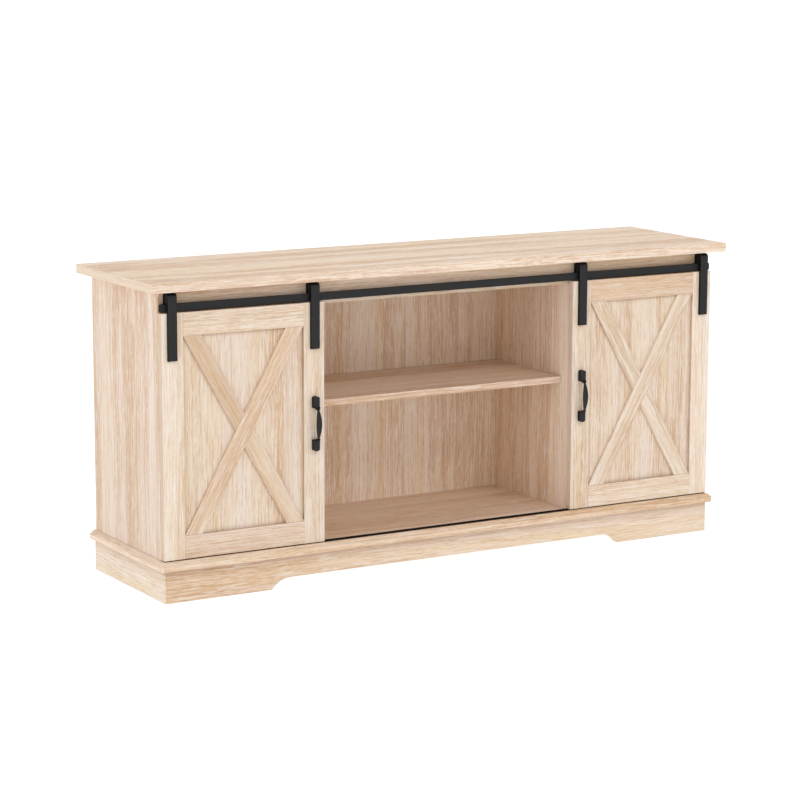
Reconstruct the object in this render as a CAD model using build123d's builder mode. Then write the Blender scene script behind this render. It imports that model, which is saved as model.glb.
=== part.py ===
"""TV stand with two framed doors that hang from a flat steel bar and slide in front of the carcass.

Frame: X to the right, Y to the back, Z up. The origin is on the floor, midway between the ends and
midway between the handles and the top's back edge.
All sizes are in millimetres.
"""

from build123d import *
import os

os.makedirs("parts", exist_ok=True)

# ---------------------------------------------------------------- driving dimensions
width = 1473.0
depth = 386.5  # of the top
height = 686.0
top_front_y = -190.5
top_thickness = 20.0
board = 18.0
edge_round = 1.0

# Carcass
side_x = 706.0  # outer face of the side panels
front_y = -152.0  # front edges of the side panels, dividers and fascia
side_back_y = 182.5
bay_x = 324.0  # faces of the dividers that look into the centre bay
floor_z = 90.0  # upper face of the bottom panel
fascia_low_z = 613.0
groove_depth = 6.0
back_thickness = 3.0
back_front_y = 158.0
back_clearance = 0.2

# Shelves
shelf_thickness = 15.0
shelf_top_z = 396.0
shelf_front_y = -125.0
shelf_end_gap = 0.8
shelf_back_gap = 2.0
pin_radius = 2.5
pin_in_panel = 7.0
pin_out = 9.0
pin_y = (-95.0, 128.0)

# Base
base_x = 707.5
base_front_y = -175.0
base_back_y = 189.5
base_corner_radius = 6.0
cutout_height = 23.4
cutout_half_width = 453.0
cutout_flat_half_width = 406.0
moulding_low_z = 70.5
moulding_reach = 11.0
moulding_bevel_height = 8.5
moulding_bevel_width = 10.0
moulding_corner_radius = 9.0
moulding_foot_round = 2.5
block_leg = 40.0
block_height = 50.0
stretcher_low_z = 24.0
foot_y = 40.0
foot_pad_radius = 18.0
foot_pad_height = 6.0
foot_stem_radius = 4.0
foot_stem_top_z = 44.0

# Knock-down fittings
cam_y = (-90.0, 110.0)
cam_below_top = 30.0
cam_radius = 7.5
cam_depth = 12.5
cam_bolt_radius = 3.5
cam_bolt_thread = 10.0
screw_y = (-110.0, 14.0, 120.0)
screw_radius = 2.5
screw_head_radius = 4.5
panel_screw_grip = 30.0

# Hanging bar, its fixings and the floor track
rail_half_length = 707.0
rail_height = 17.0
rail_thickness = 6.0
rail_low_z = 622.0
rail_front_y = -166.5
rail_corner_radius = 4.0
rail_bolt_x = (-620.0, -250.0, 0.0, 250.0, 620.0)
rail_bolt_z = 629.7
rail_thread_depth = 4.0
bolt_head_radius = 5.0
bolt_head_height = 3.5
spacer_radius = 4.0
stop_x = 699.2
stop_z = 634.0
stop_radius = 4.0
stop_gap = 0.3
track_y = -163.0
track_half_length = 704.0
track_body = 10.0
track_flange = 14.0
track_flange_height = 1.6
track_slot = 5.0
track_depth = 5.5
track_slot_depth = 4.0

# Doors
door_outer_x = 707.0
door_inner_x = 321.4
door_low_z = 92.3
door_high_z = 620.0
door_front_y = -172.3
door_thickness = 18.0
frame_width = 50.0
panel_recess = 6.0
panel_thickness = 5.0
tongue = 8.0
tenon_from_edge = 8.0
brace_thickness = 5.4
brace_foot = 43.0  # level width of a brace where it meets a rail
brace_bevel = 0.8
frame_bevel = 0.6
guide_pin_radius = 2.2
guide_pin_plug_radius = 4.0
guide_pin_plug_length = 12.0
guide_pin_low_z = 87.2

# Hangers and glides
hanger_width = 20.8
hanger_thickness = 6.0
hanger_low_z = 519.5
hanger_high_z = 662.0
hanger_bend_radius = 8.0
hook_leg_low_z = 635.5
hook_gap = 0.3  # between the bar and what runs on it
hanger_outer_x = 684.0
hanger_inner_x = 345.7
hanger_bolt_z = (545.0, 597.0)
hanger_thread_depth = 4.0
glide_width = 19.0
glide_lip_low_z = 627.5

# Handles
handle_x = 345.5
handle_half_length = 60.0
handle_hole_spacing = 96.0
handle_foot_half_width = 7.0
handle_foot_depth = 10.8
handle_foot_inner_z = 35.0
handle_shoulder_z = 38.0
handle_foot_arch = 3.0
handle_neck_half_width = 2.2
handle_neck_z = 30.0
handle_neck_reach = 18.7
handle_neck_thickness = 2.3
handle_grip_half_width = 6.0
handle_reach = 23.0
handle_grip_thickness = 3.8
handle_screw_radius = 2.0
handle_screw_head_radius = 4.0
handle_screw_bite = 7.0

# ---------------------------------------------------------------- derived places
under_top = height - top_thickness
inner_side_x = side_x - board
divider_cabinet_x = bay_x + board
fascia_back_y = front_y + board
bottom_low_z = floor_z - board
back_panel_y = back_front_y + back_thickness / 2
shelf_low_z = shelf_top_z - shelf_thickness
pin_z = shelf_low_z - pin_radius
plinth_inner_x = base_x - board
plinth_front_inner_y = base_front_y + board
plinth_back_inner_y = base_back_y - board
cam_z = under_top - cam_below_top
rail_back_y = rail_front_y + rail_thickness
door_back_y = door_front_y + door_thickness
door_centre_x = (door_outer_x + door_inner_x) / 2
door_centre_z = (door_low_z + door_high_z) / 2
door_width = door_outer_x - door_inner_x
opening_half_width = door_width / 2 - frame_width
opening_low_z = door_low_z + frame_width
opening_high_z = door_high_z - frame_width
panel_front_y = door_front_y + panel_recess
panel_middle_y = panel_front_y + panel_thickness / 2
strap_front_y = door_front_y - hanger_thickness
hook_leg_front_y = rail_back_y + hook_gap
handle_z = door_centre_z
right_angle = 90.0

LEFT, RIGHT = -1, 1
side_name = {LEFT: "left", RIGHT: "right"}
FRONTWARD = (0, -1, 0)
BACKWARD = (0, 1, 0)
UPWARD = (0, 0, 1)
DOWNWARD = (0, 0, -1)


# ---------------------------------------------------------------- shared helpers
def finish(piece, label):
    """Name a finished piece and write it."""
    piece.part.label = label
    export_step(piece.part, f"parts/{label}.step")


def facing(x, y, z, outward):
    """Place on a surface: a hole made here goes in against the outward direction."""
    return Plane(origin=(x, y, z), z_dir=outward)


def board_between(x, y, z, mode=Mode.ADD):
    """Add or cut a square-edged block between pairs of limits."""
    with Locations(((x[0] + x[1]) / 2, (y[0] + y[1]) / 2, (z[0] + z[1]) / 2)):
        Box(abs(x[1] - x[0]), y[1] - y[0], z[1] - z[0], mode=mode)


def screws(places, head_radius, radius, length):
    """Countersunk screws with their heads flush at each place, pointing inwards."""
    head_height = head_radius - radius
    with Locations(*places):
        Cone(radius, head_radius, head_height, align=(Align.CENTER, Align.CENTER, Align.MAX))
        Cylinder(radius, length, align=(Align.CENTER, Align.CENTER, Align.MAX))


def mirrored(values):
    """Each value on both sides of the middle."""
    return [side * value for value in values for side in (LEFT, RIGHT)]


# ---------------------------------------------------------------- carcass
upright_middle_x = mirrored((side_x - board / 2, bay_x + board / 2))
screw_places = [facing(x, y, bottom_low_z, DOWNWARD) for x in upright_middle_x for y in screw_y]
groove_y = (back_front_y - back_clearance, back_front_y + back_thickness + back_clearance)
groove_x = inner_side_x + groove_depth

with BuildPart() as top_panel:
    with BuildSketch(Plane.XY.offset(under_top)):
        with Locations((0, top_front_y)):
            Rectangle(width, depth, align=(Align.CENTER, Align.MIN))
    extrude(amount=top_thickness)
    fillet(top_panel.edges(), edge_round)
    board_between((-groove_x, groove_x), groove_y, (under_top, under_top + groove_depth), Mode.SUBTRACT)
    with Locations(*[facing(x, y, under_top, DOWNWARD) for x in upright_middle_x for y in cam_y]):
        Hole(cam_bolt_radius, cam_bolt_thread)
finish(top_panel, "top_panel")


def side_panel(side):
    inner, outer = side * inner_side_x, side * side_x
    middle = (inner + outer) / 2
    into_bay = (-side, 0, 0)
    with BuildPart() as panel:
        board_between((inner, outer), (front_y, side_back_y), (floor_z, under_top))
        fillet(panel.faces().sort_by(Axis.X)[0 if side == LEFT else -1].edges().filter_by(Axis.Z), edge_round)
        board_between((inner, side * groove_x), groove_y, (floor_z, under_top), Mode.SUBTRACT)
        with Locations(*[facing(inner, y, cam_z, into_bay) for y in cam_y]):
            Hole(cam_radius, cam_depth)
        with Locations(*[facing(middle, y, under_top, UPWARD) for y in cam_y]):
            Hole(cam_bolt_radius, cam_below_top)
        with Locations(*[facing(inner, y, pin_z, into_bay) for y in pin_y]):
            Hole(pin_radius, pin_in_panel)
        with Locations(*[facing(middle, y, floor_z, DOWNWARD) for y in screw_y]):
            Hole(screw_radius, panel_screw_grip)
    return panel


def divider(side):
    bay_face, cabinet_face = side * bay_x, side * divider_cabinet_x
    middle = (bay_face + cabinet_face) / 2
    towards_bay, towards_cabinet = (-side, 0, 0), (side, 0, 0)
    with BuildPart() as panel:
        board_between((bay_face, cabinet_face), (front_y, back_front_y), (floor_z, under_top))
        board_between(
            (bay_face, cabinet_face), (front_y, fascia_back_y), (fascia_low_z, under_top), Mode.SUBTRACT
        )
        with Locations(*[facing(cabinet_face, y, cam_z, towards_cabinet) for y in cam_y]):
            Hole(cam_radius, cam_depth)
        with Locations(*[facing(middle, y, under_top, UPWARD) for y in cam_y]):
            Hole(cam_bolt_radius, cam_below_top)
        with Locations(
            *[facing(bay_face, y, pin_z, towards_bay) for y in pin_y],
            *[facing(cabinet_face, y, pin_z, towards_cabinet) for y in pin_y],
        ):
            Hole(pin_radius, pin_in_panel)
        with Locations(*[facing(middle, y, floor_z, DOWNWARD) for y in screw_y]):
            Hole(screw_radius, panel_screw_grip)
    return panel


for side in (LEFT, RIGHT):
    finish(side_panel(side), f"side_panel_{side_name[side]}")
    finish(divider(side), f"divider_{side_name[side]}")

with BuildPart() as bottom_panel:
    board_between((-base_x, base_x), (base_front_y, base_back_y), (bottom_low_z, floor_z))
    board_between(
        (-track_half_length, track_half_length),
        (track_y - track_body / 2, track_y + track_body / 2),
        (floor_z - track_depth, floor_z),
        Mode.SUBTRACT,
    )
    with Locations(*screw_places):
        CounterSinkHole(screw_radius, screw_head_radius, board, counter_sink_angle=right_angle)
finish(bottom_panel, "bottom_panel")

with BuildPart() as fascia:
    board_between((-inner_side_x, inner_side_x), (front_y, fascia_back_y), (fascia_low_z, under_top))
    with Locations(*[facing(x, front_y, rail_bolt_z, FRONTWARD) for x in rail_bolt_x]):
        Hole(screw_radius, board)
finish(fascia, "fascia")

with BuildPart() as back_panel:
    board_between(
        (-groove_x + back_clearance, groove_x - back_clearance),
        (back_front_y, back_front_y + back_thickness),
        (floor_z, under_top + groove_depth - back_clearance),
    )
finish(back_panel, "back_panel")


# ---------------------------------------------------------------- shelves and their pins
def shelf(left_x, right_x):
    with BuildPart() as piece:
        board_between(
            (left_x + shelf_end_gap, right_x - shelf_end_gap),
            (shelf_front_y, back_front_y - shelf_back_gap),
            (shelf_low_z, shelf_top_z),
        )
        fillet(piece.faces().sort_by(Axis.Y)[0].edges().filter_by(Axis.X), edge_round)
    return piece


finish(shelf(-bay_x, bay_x), "centre_shelf")
finish(shelf(-inner_side_x, -divider_cabinet_x), "shelf_left")
finish(shelf(divider_cabinet_x, inner_side_x), "shelf_right")

# Each pin goes into one panel face, given with the direction that it points out of the panel.
pin_faces = [(side * bay_x, -side) for side in (LEFT, RIGHT)]
pin_faces += [(side * divider_cabinet_x, side) for side in (LEFT, RIGHT)]
pin_faces += [(side * inner_side_x, -side) for side in (LEFT, RIGHT)]

with BuildPart() as shelf_pins:
    with Locations(*[facing(x, y, pin_z, (out, 0, 0)) for x, out in pin_faces for y in pin_y]):
        Cylinder(pin_radius, pin_in_panel, align=(Align.CENTER, Align.CENTER, Align.MAX))
        Cylinder(pin_radius, pin_out, align=(Align.CENTER, Align.CENTER, Align.MIN))
finish(shelf_pins, "shelf_pins")


# ---------------------------------------------------------------- base
def base_footprint():
    """The rounded outline that the plinth boards share."""
    with Locations((0, (base_front_y + base_back_y) / 2)):
        RectangleRounded(2 * base_x, base_back_y - base_front_y, base_corner_radius, mode=Mode.INTERSECT)


with BuildPart() as plinth_front:
    with BuildSketch():
        Polygon(
            (-base_x, base_front_y),
            (base_x, base_front_y),
            (plinth_inner_x, plinth_front_inner_y),
            (-plinth_inner_x, plinth_front_inner_y),
            align=None,
        )
        base_footprint()
    extrude(amount=bottom_low_z)
    with BuildSketch(Plane.XZ.offset(-base_front_y)):
        with BuildLine():
            Line((-cutout_flat_half_width, cutout_height), (cutout_flat_half_width, cutout_height))
            TangentArc(
                (cutout_flat_half_width, cutout_height), (cutout_half_width, 0), tangent=(1, 0)
            )
            Line((cutout_half_width, 0), (-cutout_half_width, 0))
            TangentArc(
                (-cutout_flat_half_width, cutout_height), (-cutout_half_width, 0), tangent=(-1, 0)
            )
        make_face()
    extrude(amount=-board, mode=Mode.SUBTRACT)
finish(plinth_front, "plinth_front")


def plinth_end(side):
    with BuildPart() as piece:
        with BuildSketch():
            Polygon(
                (side * base_x, base_front_y),
                (side * base_x, base_back_y),
                (side * plinth_inner_x, plinth_back_inner_y),
                (side * plinth_inner_x, plinth_front_inner_y),
                align=None,
            )
            base_footprint()
        extrude(amount=bottom_low_z)
    return piece


for side in (LEFT, RIGHT):
    finish(plinth_end(side), f"plinth_{side_name[side]}")

with BuildPart() as plinth_back:
    with BuildSketch():
        Polygon(
            (-base_x, base_back_y),
            (base_x, base_back_y),
            (plinth_inner_x, plinth_back_inner_y),
            (-plinth_inner_x, plinth_back_inner_y),
            align=None,
        )
        base_footprint()
    extrude(amount=bottom_low_z)
finish(plinth_back, "plinth_back")


def moulding(mitre):
    """A length of the bevelled strip: the whole bevelled slab, cut to the strip's mitred outline."""
    outer_x = base_x + moulding_reach
    outer_front_y = base_front_y - moulding_reach
    slab_back_y = base_back_y + depth
    slab_middle_y = (outer_front_y + slab_back_y) / 2
    slab_depth = slab_back_y - outer_front_y
    with BuildPart() as strip:
        with Locations((0, slab_middle_y, (moulding_low_z + floor_z) / 2)):
            Box(2 * outer_x, slab_depth, floor_z - moulding_low_z)
        upper = strip.faces().sort_by(Axis.Z)[-1]
        chamfer(upper.edges(), moulding_bevel_width, moulding_bevel_height, reference=upper)
        fillet(strip.faces().sort_by(Axis.Z)[0].edges(), moulding_foot_round)
        with BuildSketch(Plane.XY.offset(moulding_low_z)):
            Polygon(*mitre, align=None)
            with Locations((0, slab_middle_y)):
                RectangleRounded(2 * outer_x, slab_depth, moulding_corner_radius, mode=Mode.INTERSECT)
        extrude(amount=floor_z - moulding_low_z, mode=Mode.INTERSECT)
    return strip


mitre_out_x = base_x + moulding_reach
mitre_out_y = base_front_y - moulding_reach
finish(
    moulding(
        [
            (-mitre_out_x, mitre_out_y),
            (mitre_out_x, mitre_out_y),
            (base_x, base_front_y),
            (-base_x, base_front_y),
        ]
    ),
    "moulding_front",
)
for side in (LEFT, RIGHT):
    side_mitre = [
        (side * mitre_out_x, mitre_out_y),
        (side * base_x, base_front_y),
        (side * base_x, base_back_y),
        (side * mitre_out_x, base_back_y),
    ]
    finish(moulding(side_mitre), f"moulding_{side_name[side]}")

with BuildPart() as corner_blocks:
    with BuildSketch(Plane.XY.offset(bottom_low_z - block_height)):
        for side in (LEFT, RIGHT):
            for corner_y, inward in ((plinth_front_inner_y, 1), (plinth_back_inner_y, -1)):
                Polygon(
                    (side * plinth_inner_x, corner_y),
                    (side * (plinth_inner_x - block_leg), corner_y),
                    (side * plinth_inner_x, corner_y + inward * block_leg),
                    align=None,
                )
    extrude(amount=block_height)
finish(corner_blocks, "corner_blocks")

with BuildPart() as base_stretcher:
    board_between(
        (-board / 2, board / 2),
        (plinth_front_inner_y, plinth_back_inner_y),
        (stretcher_low_z, bottom_low_z),
    )
    with Locations(facing(0, foot_y, stretcher_low_z, DOWNWARD)):
        Hole(foot_stem_radius, foot_stem_top_z - stretcher_low_z)
finish(base_stretcher, "base_stretcher")

with BuildPart() as centre_foot:
    with BuildSketch():
        with Locations((0, foot_y)):
            Circle(foot_pad_radius)
    extrude(amount=foot_pad_height)
    with BuildSketch():
        with Locations((0, foot_y)):
            Circle(foot_stem_radius)
    extrude(amount=foot_stem_top_z)
finish(centre_foot, "centre_foot")

# ---------------------------------------------------------------- knock-down fittings
cam_head_height = 4.0
cam_neck_radius = 2.5
cam_head_radius = 3.2

with BuildPart() as cam_bolts:
    with Locations(*[facing(x, y, under_top, UPWARD) for x in upright_middle_x for y in cam_y]):
        Cylinder(cam_bolt_radius, cam_bolt_thread, align=(Align.CENTER, Align.CENTER, Align.MIN))
        Cylinder(cam_neck_radius, cam_below_top, align=(Align.CENTER, Align.CENTER, Align.MAX))
    with Locations(*[facing(x, y, cam_z, UPWARD) for x in upright_middle_x for y in cam_y]):
        Cylinder(cam_head_radius, cam_head_height, align=(Align.CENTER, Align.CENTER, Align.MIN))
finish(cam_bolts, "cam_bolts")

# Cams sit in the side panels' inner faces and in the dividers' cabinet faces.
cam_faces = [(side * inner_side_x, -side) for side in (LEFT, RIGHT)]
cam_faces += [(side * divider_cabinet_x, side) for side in (LEFT, RIGHT)]
cam_slot_width = 2.0
cam_slot_depth = 2.0

with BuildPart() as cam_locks:
    cam_places = [facing(x, y, cam_z, (out, 0, 0)) for x, out in cam_faces for y in cam_y]
    with Locations(*cam_places):
        Cylinder(cam_radius, cam_depth, align=(Align.CENTER, Align.CENTER, Align.MAX))
        Box(
            cam_slot_width,
            cam_radius,
            cam_slot_depth,
            align=(Align.CENTER, Align.CENTER, Align.MAX),
            mode=Mode.SUBTRACT,
        )
    with Locations(*[facing(x, y, cam_z + cam_radius, UPWARD) for x in upright_middle_x for y in cam_y]):
        Hole(cam_bolt_radius, cam_radius)
finish(cam_locks, "cam_locks")

with BuildPart() as panel_screws:
    screws(screw_places, screw_head_radius, screw_radius, board + panel_screw_grip)
finish(panel_screws, "panel_screws")

# ---------------------------------------------------------------- hanging bar and floor track
with BuildPart() as hanging_rail:
    with BuildSketch(Plane.XZ.offset(-rail_back_y)):
        with Locations((0, rail_low_z + rail_height / 2)):
            RectangleRounded(2 * rail_half_length, rail_height, rail_corner_radius)
    extrude(amount=rail_thickness)
    fillet(hanging_rail.faces().sort_by(Axis.Y)[0].edges(), frame_bevel)
    with Locations(
        *[facing(x, rail_back_y, rail_bolt_z, BACKWARD) for x in rail_bolt_x],
        *[facing(x, rail_back_y, stop_z, BACKWARD) for x in (-stop_x, stop_x)],
    ):
        Hole(screw_radius, rail_thread_depth)
finish(hanging_rail, "hanging_rail")

with BuildPart() as rail_spacers:
    with Locations(*[facing(x, front_y, rail_bolt_z, BACKWARD) for x in rail_bolt_x]):
        Cylinder(spacer_radius, front_y - rail_back_y, align=(Align.CENTER, Align.CENTER, Align.MAX))
        Hole(screw_radius, front_y - rail_back_y)
finish(rail_spacers, "rail_spacers")

with BuildPart() as rail_stops:
    with Locations(*[facing(x, rail_back_y, stop_z, BACKWARD) for x in (-stop_x, stop_x)]):
        Cylinder(
            stop_radius, front_y - rail_back_y - stop_gap, align=(Align.CENTER, Align.CENTER, Align.MIN)
        )
        Cylinder(screw_radius, rail_thread_depth, align=(Align.CENTER, Align.CENTER, Align.MAX))
finish(rail_stops, "rail_stops")

with BuildPart() as rail_bolts:
    with Locations(*[facing(x, fascia_back_y, rail_bolt_z, BACKWARD) for x in rail_bolt_x]):
        Cylinder(bolt_head_radius, bolt_head_height, align=(Align.CENTER, Align.CENTER, Align.MIN))
        Cylinder(
            screw_radius,
            fascia_back_y - rail_back_y + rail_thread_depth,
            align=(Align.CENTER, Align.CENTER, Align.MAX),
        )
finish(rail_bolts, "rail_bolts")

with BuildPart() as guide_track:
    with BuildSketch(Plane.YZ.offset(-track_half_length)):
        with Locations((track_y, floor_z - track_depth / 2)):
            Rectangle(track_body, track_depth)
        with Locations((track_y, floor_z + track_flange_height / 2)):
            Rectangle(track_flange, track_flange_height)
        with Locations((track_y, floor_z + track_flange_height)):
            Rectangle(
                track_slot,
                track_slot_depth + track_flange_height,
                align=(Align.CENTER, Align.MAX),
                mode=Mode.SUBTRACT,
            )
    extrude(amount=2 * track_half_length)
finish(guide_track, "guide_track")


# ---------------------------------------------------------------- doors
groove_in_frame_y = (panel_front_y, panel_front_y + panel_thickness)


def stile(side, middle_x, hanger_x, panel_side, with_handle):
    """A full-height upright of a door; panel_side is the X direction of its grooved edge."""
    grooved_x = middle_x + panel_side * frame_width / 2
    x_limits = (middle_x - frame_width / 2, middle_x + frame_width / 2)
    with BuildPart() as piece:
        board_between(x_limits, (door_front_y, door_back_y), (door_low_z, door_high_z))
        front_edges = piece.faces().sort_by(Axis.Y)[0].edges()
        chamfer(front_edges.filter_by(Axis.Z), frame_bevel)
        board_between(
            (grooved_x, grooved_x - panel_side * tongue),
            groove_in_frame_y,
            (door_low_z + tenon_from_edge, door_high_z - tenon_from_edge),
            Mode.SUBTRACT,
        )
        with Locations(*[facing(side * hanger_x, door_back_y, z, BACKWARD) for z in hanger_bolt_z]):
            CounterSinkHole(
                screw_radius, screw_head_radius, door_thickness, counter_sink_angle=right_angle
            )
        with Locations(facing(middle_x, track_y, door_low_z, DOWNWARD)):
            Hole(guide_pin_plug_radius, guide_pin_plug_length)
        if with_handle:
            with Locations(*handle_screw_places(side)):
                CounterSinkHole(
                    handle_screw_radius,
                    handle_screw_head_radius,
                    door_thickness,
                    counter_sink_angle=right_angle,
                )
    return piece


def handle_screw_places(side):
    """Where the handle's two screws enter the back of the inner stile."""
    half = handle_hole_spacing / 2
    return [facing(side * handle_x, door_back_y, handle_z + dz, BACKWARD) for dz in (-half, half)]


def door_rail(centre_x, low_z, panel_direction):
    """A level member between the stiles; panel_direction is +1 when its upper edge is grooved."""
    high_z = low_z + frame_width
    if panel_direction > 0:
        groove_z = (high_z - tongue, high_z)
        tenon_z = (low_z + tenon_from_edge, high_z - tongue)
    else:
        groove_z = (low_z, low_z + tongue)
        tenon_z = (low_z + tongue, high_z - tenon_from_edge)
    half = opening_half_width
    with BuildPart() as piece:
        board_between((centre_x - half, centre_x + half), (door_front_y, door_back_y), (low_z, high_z))
        chamfer(piece.faces().sort_by(Axis.Y)[0].edges().filter_by(Axis.X), frame_bevel)
        board_between(
            (centre_x - half, centre_x + half), groove_in_frame_y, groove_z, Mode.SUBTRACT
        )
        board_between((centre_x - half - tongue, centre_x + half + tongue), groove_in_frame_y, tenon_z)
    return piece


def door_panel(centre_x):
    half = opening_half_width + tongue
    with BuildPart() as piece:
        board_between(
            (centre_x - half, centre_x + half),
            groove_in_frame_y,
            (opening_low_z - tongue, opening_high_z + tongue),
        )
    return piece


def diagonal(centre_x, rising, mode=Mode.ADD):
    """Outline of a brace from corner to corner; rising is +1 when its right end is the upper one."""
    low_side = -rising * opening_half_width
    high_side = rising * opening_half_width
    Polygon(
        (centre_x + low_side, opening_low_z),
        (centre_x + low_side + rising * brace_foot, opening_low_z),
        (centre_x + high_side, opening_high_z),
        (centre_x + high_side - rising * brace_foot, opening_high_z),
        align=None,
        mode=mode,
    )


def brace(centre_x, part_of_cross):
    """The whole rising brace, or the upper or lower half of the falling one."""
    with BuildPart() as piece:
        with BuildSketch(Plane.XZ.offset(-panel_front_y)):
            if part_of_cross == "long":
                diagonal(centre_x, rising=1)
            else:
                diagonal(centre_x, rising=-1)
                diagonal(centre_x, rising=1, mode=Mode.SUBTRACT)
                keep = Align.MIN if part_of_cross == "upper" else Align.MAX
                with Locations((centre_x, door_centre_z)):
                    Rectangle(
                        door_width, door_width, align=(Align.CENTER, keep), mode=Mode.INTERSECT
                    )
        extrude(amount=brace_thickness)
        chamfer(piece.faces().sort_by(Axis.Y)[0].edges(), brace_bevel)
    return piece


def hanger(side, middle_x):
    """Bent strap: down the door's face, over the bar and a little way down behind it."""
    leg_back_y = hook_leg_front_y + hanger_thickness
    inner_top_z = hanger_high_z - hanger_thickness
    left_x = side * middle_x - hanger_width / 2
    with BuildPart() as strap:
        with BuildSketch(Plane.YZ.offset(left_x)) as outline:
            Polygon(
                (strap_front_y, hanger_low_z),
                (strap_front_y, hanger_high_z),
                (leg_back_y, hanger_high_z),
                (leg_back_y, hook_leg_low_z),
                (hook_leg_front_y, hook_leg_low_z),
                (hook_leg_front_y, inner_top_z),
                (door_front_y, inner_top_z),
                (door_front_y, hanger_low_z),
                align=None,
            )
            by_height = outline.vertices().group_by(Axis.Y)
            fillet(by_height[-1], hanger_bend_radius)
            fillet(by_height[-2], hanger_bend_radius - hanger_thickness)
        extrude(amount=hanger_width)
        front_face = strap.faces().sort_by(Axis.Y)[0]
        chamfer(front_face.edges().filter_by(Axis.X).sort_by(Axis.Z)[0], frame_bevel)
        with Locations(*[facing(side * middle_x, door_front_y, z, BACKWARD) for z in hanger_bolt_z]):
            Hole(screw_radius, hanger_thread_depth)
    return strap


def glides(side):
    """Nylon blocks that fill the hooks, sit on the bar and keep its front face off the straps."""
    low_z = rail_low_z + rail_height + hook_gap
    inner_top_z = hanger_high_z - hanger_thickness
    lip_back_y = rail_front_y - hook_gap
    corner = hanger_bend_radius - hanger_thickness
    with BuildPart() as blocks:
        for middle_x in (hanger_outer_x, hanger_inner_x):
            with BuildSketch(Plane.YZ.offset(side * middle_x - glide_width / 2)) as outline:
                Polygon(
                    (door_front_y, glide_lip_low_z),
                    (door_front_y, inner_top_z),
                    (hook_leg_front_y, inner_top_z),
                    (hook_leg_front_y, low_z),
                    (lip_back_y, low_z),
                    (lip_back_y, glide_lip_low_z),
                    align=None,
                )
                fillet(outline.vertices().group_by(Axis.Y)[-1], corner)
            extrude(amount=glide_width)
    return blocks


def handle(side):
    """Cast pull: its side profile cut to its front outline."""
    foot_face_y = door_front_y - handle_foot_depth
    outer_y = door_front_y - handle_reach
    inner_y = outer_y + handle_grip_thickness
    neck_outer_y = door_front_y - handle_neck_reach
    neck_inner_y = neck_outer_y + handle_neck_thickness
    shoulder = handle_shoulder_z
    foot_end = handle_half_length - handle_foot_arch
    neck_end = handle_neck_z
    foot_in = handle_foot_inner_z
    end = handle_half_length
    with BuildPart() as pull:
        with BuildSketch(Plane.YZ.offset(side * handle_x - handle_foot_half_width)):
            with BuildLine():
                upper = Polyline(
                    (neck_outer_y, handle_z + neck_end),
                    (foot_face_y, handle_z + shoulder),
                    (foot_face_y, handle_z + end),
                    (door_front_y, handle_z + end),
                    (door_front_y, handle_z + foot_in),
                    (foot_face_y, handle_z + foot_in),
                    (neck_inner_y, handle_z + neck_end),
                )
                ThreePointArc(
                    (neck_inner_y, handle_z + neck_end),
                    (inner_y, handle_z),
                    (neck_inner_y, handle_z - neck_end),
                )
                lower = Polyline(
                    (neck_inner_y, handle_z - neck_end),
                    (foot_face_y, handle_z - foot_in),
                    (door_front_y, handle_z - foot_in),
                    (door_front_y, handle_z - end),
                    (foot_face_y, handle_z - end),
                    (foot_face_y, handle_z - shoulder),
                    (neck_outer_y, handle_z - neck_end),
                )
                ThreePointArc(
                    (neck_outer_y, handle_z - neck_end),
                    (outer_y, handle_z),
                    (neck_outer_y, handle_z + neck_end),
                )
            make_face()
        extrude(amount=2 * handle_foot_half_width)
        with BuildSketch(Plane.XZ.offset(-door_front_y)):
            with BuildLine():
                for x_sign in (LEFT, RIGHT):
                    foot_x = side * handle_x + x_sign * handle_foot_half_width
                    neck_x = side * handle_x + x_sign * handle_neck_half_width
                    grip_x = side * handle_x + x_sign * handle_grip_half_width
                    Polyline(
                        (foot_x, handle_z + foot_end),
                        (foot_x, handle_z + foot_in),
                        (neck_x, handle_z + neck_end),
                    )
                    ThreePointArc(
                        (neck_x, handle_z + neck_end), (grip_x, handle_z), (neck_x, handle_z - neck_end)
                    )
                    Polyline(
                        (neck_x, handle_z - neck_end),
                        (foot_x, handle_z - foot_in),
                        (foot_x, handle_z - foot_end),
                    )
                for z_sign in (LEFT, RIGHT):
                    ThreePointArc(
                        (side * handle_x - handle_foot_half_width, handle_z + z_sign * foot_end),
                        (side * handle_x, handle_z + z_sign * end),
                        (side * handle_x + handle_foot_half_width, handle_z + z_sign * foot_end),
                    )
            make_face()
        extrude(amount=handle_reach, mode=Mode.INTERSECT)
        with Locations(
            *[
                facing(side * handle_x, door_front_y, handle_z + dz, BACKWARD)
                for dz in (-handle_hole_spacing / 2, handle_hole_spacing / 2)
            ]
        ):
            Hole(handle_screw_radius, handle_screw_bite)
    return pull


def hanger_bolts(side):
    places = [
        facing(side * x, door_back_y, z, BACKWARD)
        for x in (hanger_outer_x, hanger_inner_x)
        for z in hanger_bolt_z
    ]
    with BuildPart() as bolts:
        screws(places, screw_head_radius, screw_radius, door_thickness + hanger_thread_depth)
    return bolts


def handle_screws(side):
    with BuildPart() as pair:
        screws(
            handle_screw_places(side),
            handle_screw_head_radius,
            handle_screw_radius,
            door_thickness + handle_screw_bite,
        )
    return pair


def guide_pins(stile_middles):
    places = [facing(x, track_y, door_low_z, DOWNWARD) for x in stile_middles]
    with BuildPart() as pins:
        with Locations(*places):
            Cylinder(
                guide_pin_plug_radius,
                guide_pin_plug_length,
                align=(Align.CENTER, Align.CENTER, Align.MAX),
            )
            Cylinder(
                guide_pin_radius,
                door_low_z - guide_pin_low_z,
                align=(Align.CENTER, Align.CENTER, Align.MIN),
            )
    return pins


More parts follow.
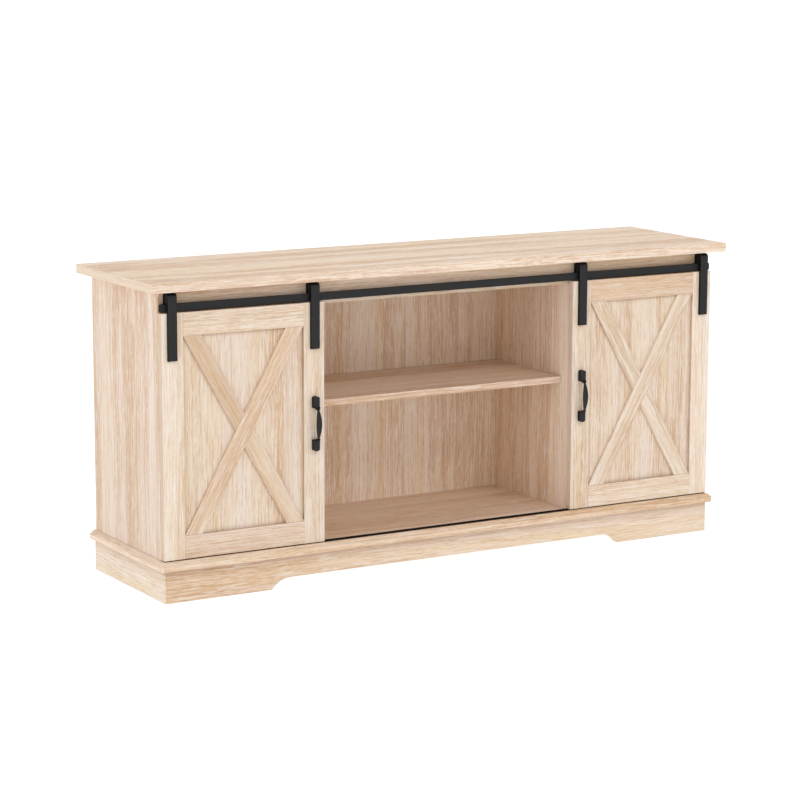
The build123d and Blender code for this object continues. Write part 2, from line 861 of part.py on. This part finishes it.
for side in (LEFT, RIGHT):
    centre_x = side * door_centre_x
    outer_stile_x = side * (door_outer_x - frame_width / 2)
    inner_stile_x = side * (door_inner_x + frame_width / 2)
    pieces = {
        "stile_outer": stile(side, outer_stile_x, hanger_outer_x, -side, with_handle=False),
        "stile_inner": stile(side, inner_stile_x, hanger_inner_x, side, with_handle=True),
        "top_rail": door_rail(centre_x, opening_high_z, panel_direction=-1),
        "bottom_rail": door_rail(centre_x, door_low_z, panel_direction=1),
        "panel": door_panel(centre_x),
        "brace_long": brace(centre_x, "long"),
        "brace_upper": brace(centre_x, "upper"),
        "brace_lower": brace(centre_x, "lower"),
        "hanger_outer": hanger(side, hanger_outer_x),
        "hanger_inner": hanger(side, hanger_inner_x),
        "glides": glides(side),
        "hanger_bolts": hanger_bolts(side),
        "handle": handle(side),
        "handle_screws": handle_screws(side),
        "guide_pins": guide_pins((outer_stile_x, inner_stile_x)),
    }
    for name, piece in pieces.items():
        finish(piece, f"{side_name[side]}_door_{name}")
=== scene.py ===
"""Looks for the TV stand: oak laminate, black hardware, a pale floor and soft studio light."""

import itertools
import math

import bpy
from mathutils import Matrix, Vector


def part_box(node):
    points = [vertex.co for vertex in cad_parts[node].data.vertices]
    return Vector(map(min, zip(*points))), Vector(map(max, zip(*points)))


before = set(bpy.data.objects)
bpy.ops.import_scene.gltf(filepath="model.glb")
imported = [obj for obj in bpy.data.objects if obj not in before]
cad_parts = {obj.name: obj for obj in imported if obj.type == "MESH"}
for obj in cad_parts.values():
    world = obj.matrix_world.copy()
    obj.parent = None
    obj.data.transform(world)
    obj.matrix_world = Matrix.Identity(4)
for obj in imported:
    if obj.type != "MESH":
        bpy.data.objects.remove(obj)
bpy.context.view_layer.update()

# ------------------------------------------------------------------ camera
CAMERA_PLACE = (-3.0922, -5.2358, 1.4452)
CAMERA_YAW = -0.5290
CAMERA_PITCH = -0.1783
CAMERA_ROLL = 0.0025
CAMERA_LENS_MM = 122.1
CAMERA_SENSOR_MM = 36.0


def make_camera():
    data = bpy.data.cameras.new("camera")
    data.sensor_width = CAMERA_SENSOR_MM
    data.lens = CAMERA_LENS_MM
    camera = bpy.data.objects.new("camera", data)
    turn = Matrix.Rotation(CAMERA_YAW, 4, "Z")
    turn = turn @ Matrix.Rotation(math.pi / 2 + CAMERA_PITCH, 4, "X")
    turn = turn @ Matrix.Rotation(CAMERA_ROLL, 4, "Z")
    camera.matrix_world = Matrix.Translation(CAMERA_PLACE) @ turn
    bpy.context.scene.collection.objects.link(camera)
    bpy.context.scene.camera = camera


# ------------------------------------------------------------------ small node helpers
# A Mix node's sockets for one type of data: its factor, A and B, and its result.
MIX_COLOURS = ((0, 6, 7), 2)
MIX_VECTORS = ((0, 4, 5), 1)
NOISE_MIDDLE = 0.5


class Nodes:
    """Adds shader nodes to one tree. From math on, a method returns its new node's output."""

    def __init__(self, tree):
        self.tree = tree

    def add(self, kind, **values):
        node = self.tree.nodes.new(kind)
        for key, value in values.items():
            setattr(node, key, value)
        return node

    def feed(self, node, **inputs):
        """Sets or links inputs: feed(node, Scale=3.0, Vector=other.outputs[0])."""
        for key, value in inputs.items():
            self.put(node.inputs[key.replace("_", " ")], value)

    def put(self, socket, value):
        if isinstance(value, bpy.types.NodeSocket):
            self.tree.links.new(value, socket)
        else:
            socket.default_value = value

    def put_all(self, sockets, values):
        for socket, value in zip(sockets, values):
            self.put(socket, value)

    def math(self, operation, *values):
        node = self.add("ShaderNodeMath", operation=operation)
        self.put_all(node.inputs, values)
        return node.outputs[0]

    def vector(self, operation, *values):
        node = self.add("ShaderNodeVectorMath", operation=operation)
        self.put_all(node.inputs, values)
        return node.outputs[0]

    def remap(self, value, low, high, to_low=0.0, to_high=1.0):
        node = self.add("ShaderNodeMapRange", interpolation_type="SMOOTHSTEP")
        self.put_all(node.inputs, (value, low, high, to_low, to_high))
        return node.outputs[0]

    def mix(self, factor, first, second, blend="MIX"):
        node = self.add("ShaderNodeMix", data_type="RGBA", blend_type=blend)
        sockets, result = MIX_COLOURS
        self.put_all((node.inputs[i] for i in sockets), (factor, first, second))
        return node.outputs[result]

    def mix_vector(self, factor, first, second):
        node = self.add("ShaderNodeMix", data_type="VECTOR")
        sockets, result = MIX_VECTORS
        self.put_all((node.inputs[i] for i in sockets), (factor, first, second))
        return node.outputs[result]

    def noise(self, vector, scale, detail=2.0, roughness=0.5):
        node = self.add("ShaderNodeTexNoise")
        self.feed(node, Vector=vector, Scale=scale, Detail=detail, Roughness=roughness)
        return node.outputs["Fac"]

    def weigh(self, value, weight):
        """The value's distance from a noise's middle, times a weight."""
        return self.math("MULTIPLY", self.math("SUBTRACT", value, NOISE_MIDDLE), weight)


def colour(red, green, blue):
    return (red, green, blue, 1.0)


def grey(value):
    return colour(value, value, value)


# A face looks along an axis when that part of its normal is larger than this.
LOOKS_ALONG = 0.75
# The part of a noise's range over which roughness changes.
ROUGHNESS_RANGE = (0.3, 0.7)


# ------------------------------------------------------------------ oak laminate
OAK_WHITE = colour(0.830, 0.770, 0.700)
OAK_PALE = colour(0.820, 0.715, 0.600)
OAK_MID = colour(0.745, 0.595, 0.462)
OAK_DARK = colour(0.610, 0.430, 0.295)
OAK_PORE = colour(0.480, 0.320, 0.200)
SILVERED = colour(1.015, 1.030, 1.100)
GOLDEN = colour(0.985, 0.955, 0.870)

# Where a piece's wood is taken from in the endless oak, in metres for each whole seed.
SEED_STRIDE = (3.71, 1.93, 2.57)
# Layers of grain: cycles per metre along it, across the face and into the board, then the
# noise's detail and roughness.
GRAIN_LAYERS = {
    "drift": ((1.6, 7.0, 7.0), 1.0, 0.5),
    "ripple": ((11.0, 30.0, 30.0), 1.0, 0.5),
    "strip": ((0.55, 18.0, 5.0), 1.0, 0.5),
    "hue": ((0.9, 28.0, 10.0), 2.0, 0.5),
    "streak": ((2.6, 70.0, 70.0), 2.0, 0.6),
    "line": ((4.2, 400.0, 400.0), 0.0, 0.5),
    "hair": ((10.0, 520.0, 520.0), 1.0, 0.6),
    "grit": ((70.0, 380.0, 380.0), 1.0, 0.5),
    "pores": ((20.0, 430.0, 430.0), 1.0, 0.5),
    "fleck": ((19.0, 270.0, 270.0), 1.0, 0.5),
    "bloom": ((3.0, 26.0, 26.0), 2.0, 0.5),
    "ring_bend": ((0.9, 5.0, 5.0), 2.0, 0.5),
    "ring_zone": ((0.7, 9.0, 9.0), 2.0, 0.5),
}
# How far the grain strays sideways, in metres, slowly and in small ripples.
DRIFT_SWAY = 0.030
RIPPLE_SWAY = 0.0035
# Growth rings: radians per metre across the face, and how many radians they bend.
RING_RATE = 240.0
RING_BEND = 70.0
RING_CREST = (0.2, 1.0)
RING_ZONE_EDGE = (0.5, 0.62)
# What each layer adds to the tone, which runs from 0, pale, to about 1, dark.
STRIP_EDGE = (0.38, 0.62)
LINE_EDGE = (0.40, 0.60)
STRIP_WEIGHT = 0.66
STREAK_WEIGHT = 0.34
LINE_WEIGHT = 0.46
HAIR_WEIGHT = 1.90
GRIT_WEIGHT = 1.25
RING_WEIGHT = 0.16
# The tones over which one oak colour gives way to the next.
PALE_TO_MID = (-0.20, 0.50)
MID_TO_DARK = (0.35, 1.10)
# The hues over which the wood turns silvery or golden.
SILVERED_EDGE = (0.50, 0.66)
GOLDEN_EDGE = (0.34, 0.50)
# Where the pale clouds, the pale flecks and the dark pores begin, and how much they cover.
BLOOM_EDGE = (0.54, 0.70)
BLOOM_COVER = 0.45
FLECK_EDGE = (0.58, 0.66)
FLECK_COVER = 0.66
PORE_EDGE = (0.59, 0.66)
PORE_COVER = 0.30
# The laminate's finish and relief.
OAK_ROUGHNESS = (0.48, 0.62)
OAK_SPECULAR = 0.25
OAK_BUMP_STRENGTH = 0.35
OAK_BUMP_DEPTH = 0.0004
LINE_RELIEF = 0.5
PORE_RELIEF = 0.6


def make_oak_group():
    """Grain runs along the incoming vector's X; Y lies across the board's face, in metres."""
    group = bpy.data.node_groups.new("oak_laminate", "ShaderNodeTree")
    face = group.interface
    face.new_socket("Vector", in_out="INPUT", socket_type="NodeSocketVector")
    for name in ("Seed", "Darkness", "Contrast"):
        face.new_socket(name, in_out="INPUT", socket_type="NodeSocketFloat")
    face.new_socket("Color", in_out="OUTPUT", socket_type="NodeSocketColor")
    for name in ("Roughness", "Height"):
        face.new_socket(name, in_out="OUTPUT", socket_type="NodeSocketFloat")
    n = Nodes(group)
    given = n.add("NodeGroupInput").outputs
    out = n.add("NodeGroupOutput")

    def layer(name, place):
        stretch, detail, roughness = GRAIN_LAYERS[name]
        return n.noise(n.vector("MULTIPLY", place, stretch), 1.0, detail, roughness)

    offset = n.add("ShaderNodeCombineXYZ")
    for socket, stride in zip(offset.inputs, SEED_STRIDE):
        n.put(socket, n.math("MULTIPLY", given["Seed"], stride))
    place = n.vector("ADD", given["Vector"], offset.outputs[0])

    # The grain wanders slowly from side to side, with a small quick ripple.
    drift = n.weigh(layer("drift", place), DRIFT_SWAY)
    ripple = n.weigh(layer("ripple", place), RIPPLE_SWAY)
    sideways = n.add("ShaderNodeCombineXYZ")
    n.put(sideways.inputs[1], n.math("ADD", drift, ripple))
    place = n.vector("ADD", place, sideways.outputs[0])

    streak = layer("streak", place)
    line = layer("line", place)
    hair = layer("hair", place)

    # Growth lines: long arches where the board cuts through the rings.
    split = n.add("ShaderNodeSeparateXYZ")
    n.put(split.inputs[0], place)
    ring_phase = n.math("MULTIPLY", split.outputs[1], RING_RATE)
    ring_bend = n.math("MULTIPLY", layer("ring_bend", place), RING_BEND)
    ring_phase = n.math("ADD", ring_phase, ring_bend)
    rings = n.remap(n.math("SINE", ring_phase), *RING_CREST)
    rings = n.math("MULTIPLY", rings, n.remap(layer("ring_zone", place), *RING_ZONE_EDGE))

    # Strips of uneven width, then streaks and lines from broad to hair-fine.
    tone = n.math("MULTIPLY", n.remap(layer("strip", place), *STRIP_EDGE), STRIP_WEIGHT)
    tone = n.math("ADD", tone, n.weigh(streak, STREAK_WEIGHT))
    tone = n.math("ADD", tone, n.weigh(n.remap(line, *LINE_EDGE), LINE_WEIGHT))
    tone = n.math("ADD", tone, n.weigh(hair, HAIR_WEIGHT))
    tone = n.math("ADD", tone, n.weigh(layer("grit", place), GRIT_WEIGHT))
    tone = n.math("ADD", tone, n.math("MULTIPLY", rings, RING_WEIGHT))
    tone = n.math("ADD", n.math("MULTIPLY", tone, given["Contrast"]), given["Darkness"])

    base = n.mix(n.remap(tone, *PALE_TO_MID), OAK_PALE, OAK_MID)
    base = n.mix(n.remap(tone, *MID_TO_DARK), base, OAK_DARK)
    hue = layer("hue", place)
    base = n.mix(n.remap(hue, *SILVERED_EDGE), base, SILVERED, blend="MULTIPLY")
    base = n.mix(n.remap(hue, *GOLDEN_EDGE, 1.0, 0.0), base, GOLDEN, blend="MULTIPLY")
    bloom = n.remap(layer("bloom", place), *BLOOM_EDGE)
    base = n.mix(n.math("MULTIPLY", bloom, BLOOM_COVER), base, OAK_PALE)
    fleck = n.remap(layer("fleck", place), *FLECK_EDGE)
    base = n.mix(n.math("MULTIPLY", fleck, FLECK_COVER), base, OAK_WHITE)
    pore = n.remap(layer("pores", place), *PORE_EDGE)
    base = n.mix(n.math("MULTIPLY", pore, PORE_COVER), base, OAK_PORE)
    n.put(out.inputs["Color"], base)

    n.put(out.inputs["Roughness"], n.remap(streak, *ROUGHNESS_RANGE, *OAK_ROUGHNESS))
    hair_height = n.math("MULTIPLY", hair, LINE_RELIEF)
    height = n.math("ADD", hair_height, n.math("MULTIPLY", line, LINE_RELIEF))
    pore_depth = n.math("MULTIPLY", pore, PORE_RELIEF)
    n.put(out.inputs["Height"], n.math("SUBTRACT", height, pore_depth))
    return group


OAK_GROUP = make_oak_group()
# The colour of the shade painted in creases, recesses and under the moulding.
PAINTED_SHADE_TINT = colour(0.62, 0.54, 0.46)
EDGE_BAND = colour(0.835, 0.725, 0.605)


def oak(
    name,
    grain,
    seed,
    darkness,
    tint,
    contrast,
    lean=0.0,
    side_shade=None,
    creases=(),
    band_cover=0.0,
):
    """Oak for one piece. grain names the grain's axis, then the axis across the face, as in "zx".

    darkness moves the wood's tone and contrast scales its grain. The wood is multiplied by tint,
    because no two boards match; on the dividers and the back panel the tint also paints light into
    the shaded bays. lean turns the grain about Y. Faces that look across the face axis are
    multiplied by side_shade, a painted shade. creases are planes near which shade is painted, each
    an axis, a place, a reach and a strength. band_cover is how far a plain edge band hides the
    grain on the end faces.
    """
    material = bpy.data.materials.new(name)
    material.use_nodes = True
    tree = material.node_tree
    tree.nodes.clear()
    n = Nodes(tree)
    coordinates = n.add("ShaderNodeTexCoord")
    place = coordinates.outputs["Object"]
    if lean:
        turned = n.add("ShaderNodeVectorRotate", rotation_type="Y_AXIS")
        n.feed(turned, Vector=place, Angle=lean)
        place = turned.outputs[0]
    split = n.add("ShaderNodeSeparateXYZ")
    n.put(split.inputs[0], place)
    by_axis = dict(zip("xyz", split.outputs))
    facing = n.add("ShaderNodeSeparateXYZ")
    n.put(facing.inputs[0], coordinates.outputs["Normal"])
    normal = dict(zip("xyz", facing.outputs))

    def looks_along(axis):
        return n.math("GREATER_THAN", n.math("ABSOLUTE", normal[axis]), LOOKS_ALONG)

    third = next(axis for axis in "xyz" if axis not in grain)
    along = n.add("ShaderNodeCombineXYZ")
    n.put_all(along.inputs, [by_axis[axis] for axis in grain + third])
    # An end face is covered with edge band, whose grain runs along the edge.
    band = n.add("ShaderNodeCombineXYZ")
    n.put_all(band.inputs, [by_axis[axis] for axis in grain[1] + third + grain[0]])
    on_end = looks_along(grain[0])
    wood = n.add("ShaderNodeGroup")
    wood.node_tree = OAK_GROUP
    place = n.mix_vector(on_end, along.outputs[0], band.outputs[0])
    n.feed(wood, Vector=place, Seed=seed, Darkness=darkness, Contrast=contrast)
    base = n.mix(n.math("MULTIPLY", on_end, band_cover), wood.outputs["Color"], EDGE_BAND)
    base = n.mix(1.0, base, colour(*tint), blend="MULTIPLY")
    # Painted shade on the faces that look across the face axis, such as the recess walls of a
    # door's frame.
    if side_shade:
        base = n.mix(looks_along(grain[1]), base, colour(*side_shade), blend="MULTIPLY")
    # Painted shade near each plane: strongest on the plane, fading out over its reach.
    for axis, plane, reach, strength in creases:
        distance = n.math("ABSOLUTE", n.math("SUBTRACT", by_axis[axis], plane))
        painted_shade = n.remap(distance, 0.0, reach, strength, 0.0)
        base = n.mix(painted_shade, base, PAINTED_SHADE_TINT, blend="MULTIPLY")
    bump = n.add("ShaderNodeBump")
    n.feed(
        bump,
        Strength=OAK_BUMP_STRENGTH,
        Distance=OAK_BUMP_DEPTH,
        Height=wood.outputs["Height"],
    )
    shader = n.add("ShaderNodeBsdfPrincipled")
    n.feed(
        shader,
        Base_Color=base,
        Roughness=wood.outputs["Roughness"],
        Normal=bump.outputs[0],
        Specular_IOR_Level=OAK_SPECULAR,
    )
    n.put(n.add("ShaderNodeOutputMaterial").inputs["Surface"], shader.outputs[0])
    return material


# ------------------------------------------------------------ plain boards, metals and plastics
# The coarse mottle's scale beside the fine one's.
COARSE_SCALE = 0.12
COARSE_DETAIL = 3.0
FINE_DETAIL = 2.0
MOTTLE_ROUGHNESS = 0.6
MOTTLE_SHARE = 0.5
MOTTLE_EDGE = (0.35, 0.65)
# A face counts as a front as its normal's Y part passes through this range.
FRONT_EDGE = (0.75, 0.97)
# How much lighter a front's pale spots are than its dark ones.
FRONT_LIFT = 1.18
ROUGHNESS_SPREAD = 0.06
FINE_BUMP_DEPTH = 0.0002


def surface(
    name,
    dark,
    light,
    grain_scale,
    roughness,
    metallic=0.0,
    specular=0.5,
    bump=0.1,
    front=None,
):
    """A fine mottled finish; front, if given, is the colour of the faces that look along Y,
    lighter than the rest as a painted sheen.
    """
    material = bpy.data.materials.new(name)
    material.use_nodes = True
    tree = material.node_tree
    tree.nodes.clear()
    n = Nodes(tree)
    coordinates = n.add("ShaderNodeTexCoord")
    place = coordinates.outputs["Object"]
    coarse = n.noise(place, grain_scale * COARSE_SCALE, COARSE_DETAIL, MOTTLE_ROUGHNESS)
    grit = n.noise(place, grain_scale, FINE_DETAIL, MOTTLE_ROUGHNESS)
    coarse_half = n.math("MULTIPLY", coarse, MOTTLE_SHARE)
    mottle = n.math("ADD", coarse_half, n.math("MULTIPLY", grit, MOTTLE_SHARE))
    base = n.mix(n.remap(mottle, *MOTTLE_EDGE), dark, light)
    # The faces that look along Y get their own lighter colour, a painted sheen where they catch
    # the light.
    if front is not None:
        facing = n.add("ShaderNodeSeparateXYZ")
        n.put(facing.inputs[0], coordinates.outputs["Normal"])
        toward_y = n.math("ABSOLUTE", facing.outputs[1])
        lifted = colour(*(FRONT_LIFT * part for part in front[:3]))
        lit = n.mix(n.remap(mottle, *MOTTLE_EDGE), front, lifted)
        base = n.mix(n.remap(toward_y, *FRONT_EDGE), base, lit)
    height = n.add("ShaderNodeBump")
    n.feed(height, Strength=bump, Distance=FINE_BUMP_DEPTH, Height=grit)
    smoothest, roughest = roughness - ROUGHNESS_SPREAD, roughness + ROUGHNESS_SPREAD
    shader = n.add("ShaderNodeBsdfPrincipled")
    n.feed(
        shader,
        Base_Color=base,
        Metallic=metallic,
        Roughness=n.remap(mottle, *ROUGHNESS_RANGE, smoothest, roughest),
        Specular_IOR_Level=specular,
        Normal=height.outputs[0],
    )
    n.put(n.add("ShaderNodeOutputMaterial").inputs["Surface"], shader.outputs[0])
    return material


def paint(node, material):
    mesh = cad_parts[node].data
    mesh.materials.clear()
    mesh.materials.append(material)


# The black steel and casting are painted lighter on the faces that look along Y, a painted sheen.
BLACK_STEEL = surface(
    "black_steel",
    dark=grey(0.003),
    light=grey(0.006),
    grain_scale=900.0,
    roughness=0.55,
    specular=0.10,
    bump=0.25,
    front=colour(0.023, 0.023, 0.0235),
)
BLACK_CASTING = surface(
    "black_casting",
    dark=grey(0.002),
    light=grey(0.007),
    grain_scale=700.0,
    roughness=0.42,
    specular=0.20,
    bump=0.5,
    front=grey(0.015),
)
BLACK_PLASTIC = surface(
    "black_plastic",
    dark=grey(0.002),
    light=grey(0.004),
    grain_scale=500.0,
    roughness=0.6,
    specular=0.08,
)
BLACK_NYLON = surface(
    "black_nylon",
    dark=grey(0.004),
    light=grey(0.007),
    grain_scale=500.0,
    roughness=0.5,
    specular=0.2,
)
RUBBER = surface(
    "black_rubber",
    dark=grey(0.008),
    light=grey(0.014),
    grain_scale=600.0,
    roughness=0.75,
    specular=0.2,
)
ZINC = surface(
    "zinc_steel",
    dark=colour(0.52, 0.53, 0.55),
    light=colour(0.66, 0.67, 0.69),
    grain_scale=1200.0,
    roughness=0.32,
    metallic=1.0,
    bump=0.15,
)
RAW_BOARD = surface(
    "raw_board",
    dark=colour(0.50, 0.37, 0.24),
    light=colour(0.64, 0.50, 0.34),
    grain_scale=420.0,
    roughness=0.75,
    specular=0.2,
    bump=0.5,
)


# ------------------------------------------------------------------ what each piece is made of
SIDES = ("left", "right")

# Each piece's grain axis and axis across the face, how dark its grain is, and its tint.
SIDE_PANEL = ("zy", 0.02, (1.015, 0.985, 0.97))
# The dividers are tinted lighter than their wood, painted light in the shaded bays.
DIVIDER = ("zy", 0.04, (1.10, 1.07, 1.06))
SHELF = ("xy", 0.08, (0.87, 0.79, 0.73))
PLINTH_END = ("yz", 0.02, (1.02, 1.005, 0.985))
MOULDING_END = ("yz", 0.02, (1.04, 0.98, 0.92))
CARCASS_OAK = {
    "top_panel": ("xy", 0.04, (0.96, 0.915, 0.875)),
    "side_panel_left": SIDE_PANEL,
    "side_panel_right": SIDE_PANEL,
    "divider_left": DIVIDER,
    "divider_right": DIVIDER,
    "bottom_panel": ("xy", 0.06, (0.915, 0.84, 0.785)),
    "fascia": ("xz", 0.02, (0.88, 0.805, 0.73)),
    # The back panel is tinted lighter than its wood, painted light in the shaded bays.
    "back_panel": ("zx", 0.06, (1.10, 1.09, 1.08)),
    "centre_shelf": SHELF,
    "shelf_left": SHELF,
    "shelf_right": SHELF,
    "plinth_front": ("xz", 0.06, (0.93, 0.875, 0.82)),
    "plinth_back": ("xz", 0.06, (0.95, 0.89, 0.83)),
    "plinth_left": PLINTH_END,
    "plinth_right": PLINTH_END,
    "moulding_front": ("xz", 0.06, (0.93, 0.86, 0.78)),
    "moulding_left": MOULDING_END,
    "moulding_right": MOULDING_END,
}
DOOR_OAK = {
    "stile_outer": ("zx", 0.0, (0.96, 0.96, 0.955)),
    "stile_inner": ("zx", 0.04, (0.90, 0.88, 0.86)),
    "top_rail": ("xz", 0.06, (0.93, 0.92, 0.91)),
    "bottom_rail": ("xz", 0.12, (0.86, 0.79, 0.73)),
    "panel": ("zx", 0.05, (0.89, 0.855, 0.82)),
}
BRACE_TINT = (0.85, 0.755, 0.67)
BRACE_DARKNESS = 0.11
BRACE_CONTRAST = 0.75
# The way each brace leans, and how far it leans from upright: its run and its rise in millimetres.
DOOR_BRACES = {"brace_long": 1, "brace_upper": -1, "brace_lower": -1}
BRACE_RUN = 241.8
BRACE_RISE = 427.7
BRACE_LEAN = math.atan2(BRACE_RUN, BRACE_RISE)

# Boards that came from a paler or a darker sheet than their fellows.
OWN_TINT = {
    "left_door_brace_long": (0.91, 0.86, 0.80),
    "left_door_brace_upper": (0.77, 0.67, 0.58),
    "left_door_brace_lower": (0.845, 0.785, 0.74),
    "right_door_brace_long": (0.93, 0.93, 0.95),
    "right_door_brace_upper": (0.90, 0.90, 0.865),
    "right_door_brace_lower": (0.93, 0.93, 0.91),
    "right_door_stile_outer": (0.99, 0.99, 0.985),
    "right_door_top_rail": (0.84, 0.76, 0.70),
    "right_door_bottom_rail": (0.94, 0.90, 0.85),
}
# How lively a piece's grain is, by its own name or by its name within a door.
PLAIN_CONTRAST = 1.0
CONTRAST = {
    "top_panel": 1.30,
    "side_panel_left": 1.05,
    "side_panel_right": 1.05,
    "plinth_front": 0.95,
    "stile_outer": 0.75,
    "stile_inner": 0.80,
    "top_rail": 0.80,
    "bottom_rail": 0.90,
    "right_door_stile_outer": 0.58,
}
BAND_COVER = {"top_panel": 0.7}
# The sides of a door's frame are painted darker than its front, a painted shade on the recess
# walls. Two stiles show an open side, which is painted lighter because it is lit.
SIDE_SHADE = (0.78, 0.71, 0.66)
OPEN_SIDE_SHADE = {
    "left_door_stile_outer": (0.89, 0.80, 0.73),
    "right_door_stile_inner": (1.00, 0.94, 0.90),
}
# Painted shade on the plinth under the moulding, and the sides painted a little darker toward the
# base.
MOULDING_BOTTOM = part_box("moulding_front")[0][2]
CARCASS_SHADE_PLANES = {
    "plinth": [("z", MOULDING_BOTTOM, 0.034, 0.48)],
    "side": [("z", MOULDING_BOTTOM, 0.45, 0.16)],
}
# Painted shade along the recess corners where a door's panel meets its frame.
FRAME_SHADE_REACH = 0.012
FRAME_SHADE_STRENGTH = 0.34

OTHER = {
    "base_stretcher": RAW_BOARD,
    "corner_blocks": RAW_BOARD,
    "shelf_pins": ZINC,
    "cam_bolts": ZINC,
    "cam_locks": ZINC,
    "panel_screws": ZINC,
    "rail_bolts": ZINC,
    "centre_foot": BLACK_PLASTIC,
    "hanging_rail": BLACK_STEEL,
    "rail_spacers": BLACK_STEEL,
    "rail_stops": RUBBER,
    "guide_track": BLACK_PLASTIC,
}
DOOR_OTHER = {
    "hanger_outer": BLACK_STEEL,
    "hanger_inner": BLACK_STEEL,
    "glides": BLACK_NYLON,
    "hanger_bolts": ZINC,
    "handle": BLACK_CASTING,
    "handle_screws": ZINC,
    "guide_pins": BLACK_NYLON,
}


def frame_creases(side):
    """The planes where a door's panel meets the frame around it, near which shade is painted in
    the recess corners.
    """
    door = f"{side}_door_"
    outer_low, outer_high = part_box(door + "stile_outer")
    inner_low, inner_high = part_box(door + "stile_inner")
    across = (outer_high[0], inner_low[0]) if side == "left" else (inner_high[0], outer_low[0])
    up = (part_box(door + "bottom_rail")[1][2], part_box(door + "top_rail")[0][2])
    planes = [("x", place) for place in across] + [("z", place) for place in up]
    return [plane + (FRAME_SHADE_REACH, FRAME_SHADE_STRENGTH) for plane in planes]


def paint_oak(node, part, seed, look, **details):
    """Oak on one node. part is its name within its body; look is its row of the tables above."""
    grain, darkness, tint = look
    tint = OWN_TINT.get(node, tint)
    contrast = details.pop("contrast", CONTRAST.get(node, CONTRAST.get(part, PLAIN_CONTRAST)))
    paint(node, oak(f"oak_{node}", grain, seed, darkness, tint, contrast, **details))


def paint_all():
    """Every oak piece has its own seed, so that no two boards share a grain."""
    seeds = itertools.count(1.0, 1.0)
    for node, look in CARCASS_OAK.items():
        creases = CARCASS_SHADE_PLANES.get(node.split("_")[0], ())
        cover = BAND_COVER.get(node, 0.0)
        paint_oak(node, node, next(seeds), look, creases=creases, band_cover=cover)
    for side in SIDES:
        for part, look in DOOR_OAK.items():
            node = f"{side}_door_{part}"
            if part == "panel":
                paint_oak(node, part, next(seeds), look, creases=frame_creases(side))
            else:
                shade = OPEN_SIDE_SHADE.get(node, SIDE_SHADE)
                paint_oak(node, part, next(seeds), look, side_shade=shade)
        for part, way in DOOR_BRACES.items():
            look = ("zx", BRACE_DARKNESS, BRACE_TINT)
            lean = -way * BRACE_LEAN
            node = f"{side}_door_{part}"
            paint_oak(node, part, next(seeds), look, contrast=BRACE_CONTRAST, lean=lean)
        for part, material in DOOR_OTHER.items():
            paint(f"{side}_door_{part}", material)
    for node, material in OTHER.items():
        paint(node, material)


paint_all()

# The pulls are cast, so their edges are soft.
HANDLE_EDGE_WIDTH = 0.0012
HANDLE_EDGE_SEGMENTS = 2
HANDLE_EDGE_ANGLE = math.radians(35.0)
for side in SIDES:
    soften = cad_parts[f"{side}_door_handle"].modifiers.new("soft_edges", "BEVEL")
    soften.width = HANDLE_EDGE_WIDTH
    soften.segments = HANDLE_EDGE_SEGMENTS
    soften.limit_method = "ANGLE"
    soften.angle_limit = HANDLE_EDGE_ANGLE


# ------------------------------------------------------------------ floor and light
FLOOR_REACH = 60.0
FLOOR_DARK = grey(0.30)
FLOOR_LIGHT = grey(0.32)
FLOOR_MOTTLE_SCALE = 3.0
FLOOR_ROUGHNESS = 0.9
FLOOR_GLOW = 0.90
WHITE = grey(1.0)


def floor_material():
    """A pale floor that glows a little, so that it stays white and holds only a faint shadow."""
    material = bpy.data.materials.new("pale_floor")
    material.use_nodes = True
    tree = material.node_tree
    n = Nodes(tree)
    place = n.add("ShaderNodeTexCoord").outputs["Object"]
    n.feed(
        tree.nodes["Principled BSDF"],
        Base_Color=n.mix(n.noise(place, FLOOR_MOTTLE_SCALE), FLOOR_DARK, FLOOR_LIGHT),
        Roughness=FLOOR_ROUGHNESS,
        Specular_IOR_Level=0.0,
        Emission_Color=WHITE,
        Emission_Strength=FLOOR_GLOW,
    )
    return material


def make_floor():
    mesh = bpy.data.meshes.new("floor")
    low, high = -FLOOR_REACH, FLOOR_REACH
    corners = [(low, low, 0), (high, low, 0), (high, high, 0), (low, high, 0)]
    mesh.from_pydata(corners, [], [(0, 1, 2, 3)])
    floor = bpy.data.objects.new("floor", mesh)
    bpy.context.scene.collection.objects.link(floor)
    mesh.materials.append(floor_material())


WORLD_STRENGTH = 0.80
LIGHT_AIM = Vector((0.0, 0.0, 0.35))
# Each lamp's place, its width and height in metres, and its power in watts.
LIGHTS = {
    "key": ((0.6, -4.0, 3.8), (2.0, 1.2), 56.0),
    "top": ((0.0, 0.2, 4.5), (3.0, 2.0), 26.0),
    "left_fill": ((-4.5, -1.0, 1.8), (3.0, 2.4), 17.0),
}


def area_light(name, place, size, power):
    data = bpy.data.lights.new(name, "AREA")
    data.shape = "RECTANGLE"
    data.size, data.size_y = size
    data.energy = power
    light = bpy.data.objects.new(name, data)
    light.location = place
    light.rotation_euler = (LIGHT_AIM - Vector(place)).to_track_quat("-Z", "Y").to_euler()
    bpy.context.scene.collection.objects.link(light)


def make_light():
    world = bpy.data.worlds.new("studio")
    world.use_nodes = True
    background = world.node_tree.nodes["Background"]
    background.inputs["Color"].default_value = WHITE
    background.inputs["Strength"].default_value = WORLD_STRENGTH
    bpy.context.scene.world = world
    for name, (place, size, power) in LIGHTS.items():
        area_light(name, place, size, power)


make_camera()
make_floor()
make_light()
bpy.context.scene.view_settings.view_transform = "Standard"
